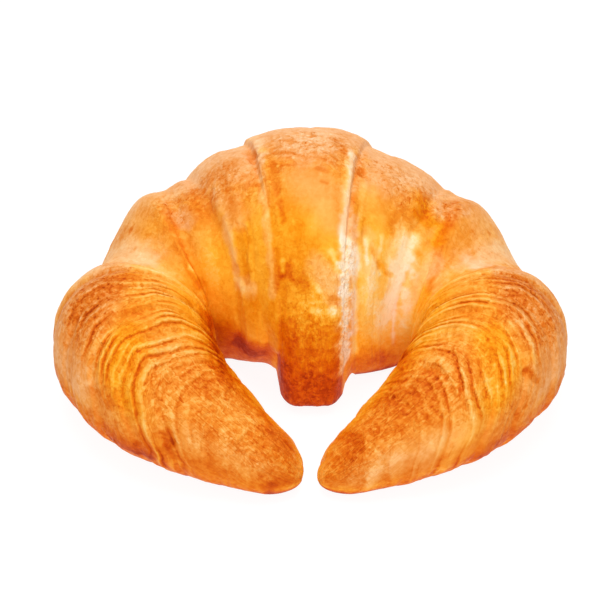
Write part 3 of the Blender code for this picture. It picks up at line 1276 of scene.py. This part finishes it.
class Nodes:
    """Short ways to add and link the nodes of a new material."""

    def __init__(self, name):
        self.material = bpy.data.materials.new(name)
        self.material.use_nodes = True
        self.tree = self.material.node_tree

    def surface(self, name, value):
        """Feed a socket of the material's shader."""
        self.feed(self.tree.nodes["Principled BSDF"].inputs[name], value)

    def add(self, kind, inputs, **settings):
        """New node with its settings, and its inputs fed."""
        node = self.tree.nodes.new(kind)
        for name, value in settings.items():
            setattr(node, name, value)
        for name, value in inputs.items():
            self.feed(node.inputs[name], value)
        return node

    def feed(self, socket, value):
        """Set a socket to a number or colour, or link it to another socket."""
        if isinstance(value, (float, tuple)):
            socket.default_value = value
        else:
            self.tree.links.new(value, socket)

    def attribute(self, name, output="Fac"):
        return self.add("ShaderNodeAttribute", {}, attribute_name=name).outputs[output]

    def noise(self, place, scale, detail):
        inputs = {"Scale": scale, "Detail": detail, "Vector": place}
        return self.add("ShaderNodeTexNoise", inputs).outputs["Fac"]

    def times(self, first, second):
        return self.add("ShaderNodeMath", {0: first, 1: second}, operation="MULTIPLY").outputs["Value"]

    def total(self, first, *others):
        """Sum of two or more values."""
        for other in others:
            first = self.add("ShaderNodeMath", {0: first, 1: other}, operation="ADD").outputs["Value"]
        return first

    def ranged(self, value, low, high, to_low, to_high):
        """Value moved smoothly from one range to another."""
        inputs = {"Value": value, "From Min": low, "From Max": high, "To Min": to_low, "To Max": to_high}
        return self.add("ShaderNodeMapRange", inputs, interpolation_type="SMOOTHSTEP").outputs["Result"]

    def ramp(self, value, stops):
        """Colour along a line of stops, each a place and a scene colour."""
        node = self.add("ShaderNodeValToRGB", {"Fac": value})
        elements = node.color_ramp.elements
        while len(elements) < len(stops):
            elements.new(0.5)
        for element, (place, colour) in zip(elements, stops):
            element.position = place
            element.color = colour
        return node.outputs["Color"]

    def profile(self, value, stops):
        """Number from -1 to 1 along a line of stops, each a place and a number."""
        greys = [(place, (number / 2.0 + 0.5,) * 3 + (1.0,)) for place, number in stops]
        return self.times(self.total(self.ramp(value, greys), -0.5), 2.0)

    def mixed(self, share, first, second):
        """First colour at share 0 and the second at 1."""
        inputs = {"Factor": share, MIX_FIRST: first, MIX_SECOND: second}
        return self.add("ShaderNodeMix", inputs, data_type="RGBA").outputs[MIX_RESULT]


def crust_material():
    """Egg-washed crust whose colour follows how far it is toasted and how pink it is, painted shade and
    sheen included.
    """
    nodes = Nodes("croissant_crust")
    place = nodes.add("ShaderNodeTexCoord", {}).outputs["Object"]
    fine = nodes.noise(place, FINE_GRAIN, 1.0)
    middle = nodes.noise(place, MIDDLE_GRAIN, 2.0)
    round_strand = nodes.noise(nodes.attribute("round_grain", "Vector"), 1.0, 1.5)
    long_strand = nodes.noise(nodes.attribute("long_grain", "Vector"), 0.7, 1.5)
    strand = nodes.mixed(nodes.attribute("forearm"), round_strand, long_strand)
    strand_edge = nodes.times(nodes.profile(strand, EDGE_PROFILE), nodes.attribute("strands"))
    crackle = nodes.profile(nodes.noise(place, CRACKLE_GRAIN, 2.0), EDGE_PROFILE)
    speck = nodes.ranged(nodes.noise(place, SPECK_GRAIN, 1.0), 0.57, 0.7, 0.0, SPECK_TOAST)
    crumb = nodes.ranged(nodes.noise(place, CRUMB_GRAIN, 2.0), 0.56, 0.7, 0.0, CRUMB_TOAST)

    swing = nodes.total(
        nodes.times(fine, FINE_TOAST),
        nodes.times(middle, MIDDLE_TOAST),
        -MEAN_TOAST,
        nodes.times(crackle, CRACKLE_TOAST),
        nodes.times(strand_edge, STRAND_TOAST),
        crumb,
    )
    depth = nodes.total(nodes.attribute("rough"), SMOOTH_SHARE)
    specks = nodes.times(speck, nodes.attribute("specks"))
    toast_shade_and_sheen = nodes.total(nodes.attribute("toast_shade_and_sheen"), nodes.times(swing, depth), specks)

    golden, pink = (
        nodes.ramp(toast_shade_and_sheen, [(stop, linear(*colour)) for stop, colour in zip(TOAST_STOPS, colours)])
        for colours in (GOLDEN, PINK)
    )
    height = nodes.total(nodes.times(fine, 0.4), middle, nodes.times(crackle, -0.6))
    inputs = {"Strength": BUMP_STRENGTH, "Distance": BUMP_DISTANCE, "Height": nodes.times(height, depth)}
    nodes.surface("Base Color", nodes.mixed(nodes.attribute("blush_and_sheen"), golden, pink))
    nodes.surface("Roughness", nodes.ranged(middle, 0.3, 0.7, *CRUST_ROUGHNESS))
    nodes.surface("Specular IOR Level", CRUST_SPECULAR)
    nodes.surface("Normal", nodes.add("ShaderNodeBump", inputs).outputs["Normal"])
    return nodes.material


# Floor, lights and camera


WHITE = (1.0, 1.0, 1.0, 1.0)
FLOOR_SIZE = 6.0
FLOOR_DROP = 0.0001
FLOOR_GREY = 0.15
FLOOR_GLOW = 0.91
STUDIO_GLOW = 0.44
# Place and size in metres, and power in watts
TOP_LIGHT = ((0.0, 0.25, 0.9), 0.7, 6.2)
FRONT_LIGHT = ((0.0, -0.9, 0.35), 0.5, 3.5)


def floor_material():
    """Matt white that glows a little, so that shadows on it stay pale."""
    nodes = Nodes("floor_white")
    nodes.surface("Base Color", (FLOOR_GREY, FLOOR_GREY, FLOOR_GREY, 1.0))
    nodes.surface("Roughness", 0.9)
    nodes.surface("Specular IOR Level", 0.0)
    nodes.surface("Emission Color", WHITE)
    nodes.surface("Emission Strength", FLOOR_GLOW)
    return nodes.material


def make_floor():
    """Wide pale floor under the croissant."""
    reach = FLOOR_SIZE / 2.0
    corners = [(-reach, -reach, 0.0), (reach, -reach, 0.0), (reach, reach, 0.0), (-reach, reach, 0.0)]
    mesh = bpy.data.meshes.new("floor")
    mesh.from_pydata(corners, [], [(0, 1, 2, 3)])
    mesh.materials.append(floor_material())
    floor = new_object("floor", mesh)
    floor.location.z = -FLOOR_DROP


def add_area_light(name, location, size, power):
    """Square soft light that faces the croissant."""
    light = bpy.data.lights.new(name, "AREA")
    light.size = size
    light.energy = power
    holder = new_object(name, light)
    holder.location = location
    holder.rotation_euler = (VIEW_AIM - Vector(location)).to_track_quat("-Z", "Y").to_euler()


def light_scene():
    """White surroundings, a large soft light above and behind, and a weaker one in front."""
    world = bpy.data.worlds.new("studio")
    bpy.context.scene.world = world
    world.use_nodes = True
    background = world.node_tree.nodes["Background"]
    background.inputs["Color"].default_value = WHITE
    background.inputs["Strength"].default_value = STUDIO_GLOW
    add_area_light("top_light", *TOP_LIGHT)
    add_area_light("front_light", *FRONT_LIGHT)
    bpy.context.scene.view_settings.view_transform = "Standard"


def add_camera():
    """Camera at the photograph's viewing angle."""
    data = bpy.data.cameras.new("camera")
    data.sensor_width = SENSOR_WIDTH
    data.lens = SENSOR_WIDTH * VIEW_DISTANCE / VIEW_WIDTH
    camera = new_object("camera", data)
    back = Vector((0.0, -np.cos(VIEW_ELEVATION), np.sin(VIEW_ELEVATION)))
    camera.location = VIEW_AIM + back * VIEW_DISTANCE
    camera.rotation_euler = (-back).to_track_quat("-Z", "Y").to_euler()
    bpy.context.scene.camera = camera


# The croissant


# Pieces from left to right, with the wraps that each runs from and to
PIECES = (
    ("crust_left_horn", -np.inf, -HORN_WRAP),
    ("crust_left_shoulder", -HORN_WRAP, -1),
    ("crust_middle", -1, 1),
    ("crust_right_shoulder", 1, HORN_WRAP),
    ("crust_right_horn", HORN_WRAP, np.inf),
)

# Share of the flakes' edges and feet that shows in the toast
FLAKE_EDGE_SHARE = 0.35
FLAKE_FOOT_SHARE = 0.2


def build_crust():
    """The crust with its relief and colours, in pieces that meet at the seams."""
    grid = make_grid()
    rough = roughness_of(grid)
    flake_height, flake_edge, flake_foot = flakes(grid, rough)
    layer_height, layer_edge, layer_foot = layers(grid)
    relief = skin_lumps(grid, rough) + wrinkles(grid) + flake_height + layer_height + seam_relief(grid)
    relief = (relief - painted(grid, DENTS)) * calm(grid)
    points = grid.points + grid.normals * relief[..., None]
    points[..., 2] = np.maximum(points[..., 2], 0.0)
    room = np.array(CAD_HIGH) / MM
    points = points * min(1.0, *(room / np.abs(points).max(axis=(0, 1))))
    normals = grid_normals(points)
    edge = layer_edge + FLAKE_EDGE_SHARE * flake_edge
    foot = layer_foot + FLAKE_FOOT_SHARE * flake_foot
    attributes = {
        "toast_shade_and_sheen": crust_toast_shade_and_sheen(grid, rough, edge, foot),
        "blush_and_sheen": crust_blush_and_sheen(grid),
        "rough": rough,
        "specks": np.clip(painted(grid, SPECK_MARKS), 0.0, 1.0),
        "round_grain": slanted(grid.flow, grid.around / 5.0),
        "long_grain": slanted(grid.flow / 5.0, grid.around),
        "forearm": forearm_share(grid),
        "strands": 0.25 + 0.75 * rising(np.abs(grid.flow), 40.0, 15.0),
    }
    material = crust_material()
    level = (grid.level * grid.side)[:, 0]
    for name, low, high in PIECES:
        start = int(np.searchsorted(level, low))
        stop = min(int(np.searchsorted(level, high)), len(level) - 1) + 1
        own = {label: values[start:stop] for label, values in attributes.items()}
        make_piece(name, points[start:stop], normals[start:stop], own, material)


build_crust()
make_floor()
light_scene()
add_camera()
